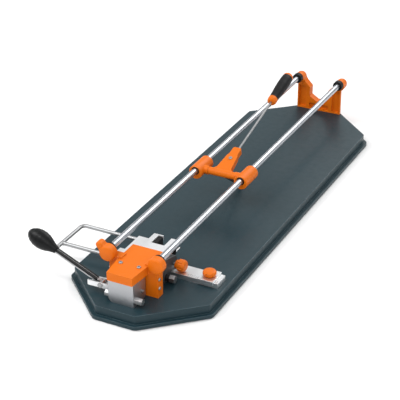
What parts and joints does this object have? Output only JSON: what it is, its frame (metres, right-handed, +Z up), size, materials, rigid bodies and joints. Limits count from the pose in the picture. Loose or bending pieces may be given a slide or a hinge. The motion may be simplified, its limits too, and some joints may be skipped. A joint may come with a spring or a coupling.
{
  "type": "tile cutter",
  "caption": "Manual tile cutter: flanged sheet steel bed, chrome guide rails, a sliding scoring carriage with a long handle, and a lever-worked breaker in the front head.",
  "frame": {"origin": "centre of the bed, on the floor plane under the rubber feet", "axes": "+X across the bed to the right seen from the head with the breaker, +Y along the rails away from that head, +Z up"},
  "size_m": [0.4551, 1.2484, 0.2484],
  "materials": {
    "bed_paint": "satin",
    "orange_casting": "satin",
    "orange_plastic": "satin",
    "chrome": "polished",
    "cast_silver": "cast",
    "light_cast": "cast",
    "dark_cast": "dark cast",
    "aluminium": "machined",
    "plated_steel": "zinc plated",
    "tool_steel": "ground",
    "black_metal": "satin",
    "black_plastic": "matte",
    "black_rubber": "matte"
  },
  "bodies": {
    "base": {"base_pan": "bed_paint", "base_stiffeners": "bed_paint", "rubber_feet": "black_rubber", "breaking_strip": "plated_steel", "base_bolts": "plated_steel", "front_bracket": "orange_casting", "bracket_screws": "chrome", "breaker_housing": "cast_silver", "housing_bolt": "plated_steel", "side_plate_left": "light_cast", "side_plate_right": "dark_cast", "foot_bolt": "plated_steel", "foot_bolt_spacer": "black_metal", "rocker_pin": "dark_cast", "lever_channel": "aluminium", "lever_pin": "plated_steel", "return_spring": "plated_steel", "rail_left": "chrome", "rail_right": "chrome", "rail_seals": "black_rubber", "rail_buffers": "black_rubber", "rear_bracket": "orange_casting", "rear_bracket_screws": "plated_steel", "cross_bar": "aluminium", "arm_guide": "light_cast"},
    "carriage": {"carriage_body": "orange_casting", "carriage_bushes": "black_plastic", "handle_pin": "plated_steel"},
    "handle": {"handle_yoke": "orange_casting", "yoke_screw": "chrome", "handle_rod": "plated_steel", "handle_collar": "orange_plastic", "handle_grip": "black_rubber", "handle_cap": "orange_plastic", "wheel_arm": "black_metal", "wheel_axle": "plated_steel"},
    "wheel": {"scoring_wheel": "tool_steel"},
    "rocker": {"breaker_rocker": "light_cast", "rocker_screws": "plated_steel", "press_pads": "black_rubber"},
    "lever": {"breaker_lever": "plated_steel", "lever_inlay": "black_plastic", "lever_grip": "black_plastic"},
    "side_arm": {"side_arm": "plated_steel"},
    "stop": {"side_stop": "aluminium"},
    "stop_knob": {"stop_knob": "orange_plastic", "stop_knob_stud": "plated_steel"},
    "bar_knob": {"bar_knob": "orange_plastic", "bar_knob_stud": "plated_steel"}
  },
  "joints": [
    {"name": "carriage_slide", "type": "slide", "parent": "base", "child": "carriage", "axis": [0, 1, 0], "range_m": [-0.368, 0.505]},
    {"name": "handle_lift", "type": "hinge", "parent": "carriage", "child": "handle", "pos_m": [0, -0.062, 0.128], "axis": [1, 0, 0], "range_deg": [0, 55]},
    {"name": "wheel_spin", "type": "hinge", "parent": "handle", "child": "wheel", "pos_m": [0, 0.05, 0.0461], "axis": [1, 0, 0], "continuous": true},
    {"name": "lever_press", "type": "hinge", "parent": "base", "child": "lever", "pos_m": [-0.066, -0.555, 0.057], "axis": [0, -1, 0], "range_deg": [0, 22], "stiffness_Nm_per_rad": 1, "springref_deg": -91.67},
    {"name": "rocker_tip", "type": "hinge", "parent": "base", "child": "rocker", "pos_m": [0, -0.47, 0.08], "axis": [-1, 0, 0], "range_deg": [0, 12], "deforming": ["return_spring"]},
    {"name": "arm_slide", "type": "slide", "parent": "base", "child": "side_arm", "axis": [-1, 0, 0], "range_m": [-0.03, 0.028]},
    {"name": "stop_slide", "type": "slide", "parent": "base", "child": "stop", "axis": [1, 0, 0], "range_m": [-0.038, 0.008]},
    {"name": "stop_knob_turn", "type": "hinge", "parent": "stop", "child": "stop_knob", "pos_m": [0.137, -0.4065, 0.055], "axis": [0, 0, 1], "range_deg": [-180, 180]},
    {"name": "bar_knob_turn", "type": "hinge", "parent": "base", "child": "bar_knob", "pos_m": [0.06, -0.414, 0.0627], "axis": [1, 0, 0], "range_deg": [-180, 180]}
  ],
  "couplings": [
    {"joint": "rocker_tip", "follows": "lever_press", "ratio": 0.545}
  ]
}
